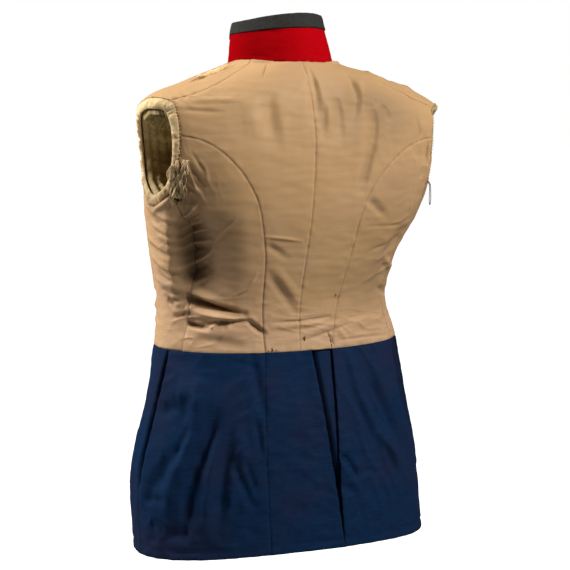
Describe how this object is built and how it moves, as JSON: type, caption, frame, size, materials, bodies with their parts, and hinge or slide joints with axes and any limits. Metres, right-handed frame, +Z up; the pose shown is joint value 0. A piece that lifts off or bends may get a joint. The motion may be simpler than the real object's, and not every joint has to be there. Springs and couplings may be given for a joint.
{
  "type": "uniform coat",
  "caption": "Waisted uniform coat in worn form with a tall standing collar, joined dark skirt, back vent and open armholes; dresses a figure.",
  "frame": {"origin": "middle of the neck seam, where a neck or a stand holds the coat up", "axes": "+Z up, the wearer faces -Y, +X to the wearer's left"},
  "size_m": [0.4512, 0.2899, 0.7358],
  "materials": {
    "body_twill": "soft sheen cotton, creased",
    "skirt_wool": "fulled wool",
    "collar_wool": "fulled wool",
    "band_wool": "worn wool",
    "rim_cotton": "plain cotton lining, aged",
    "button_brass": "plain, slightly dulled",
    "loop_thread": "twisted thread"
  },
  "bodies": {
    "root": {"armhole_lining_left": "rim_cotton", "armhole_lining_right": "rim_cotton", "armhole_loop": "loop_thread", "armhole_rim_left": "rim_cotton", "armhole_rim_right": "rim_cotton", "back_left": "body_twill", "back_right": "body_twill", "button_1": "button_brass", "button_2": "button_brass", "button_3": "button_brass", "button_4": "button_brass", "button_5": "button_brass", "button_6": "button_brass", "button_7": "button_brass", "collar_edge_band": "band_wool", "collar_stand": "collar_wool", "front_left": "body_twill", "front_right": "body_twill", "side_back_left": "body_twill", "side_back_right": "body_twill", "skirt_back_left": "skirt_wool", "skirt_back_right": "skirt_wool", "skirt_front_left": "skirt_wool", "skirt_front_right": "skirt_wool", "skirt_side_left": "skirt_wool", "skirt_side_right": "skirt_wool"}
  },
  "joints": []
}
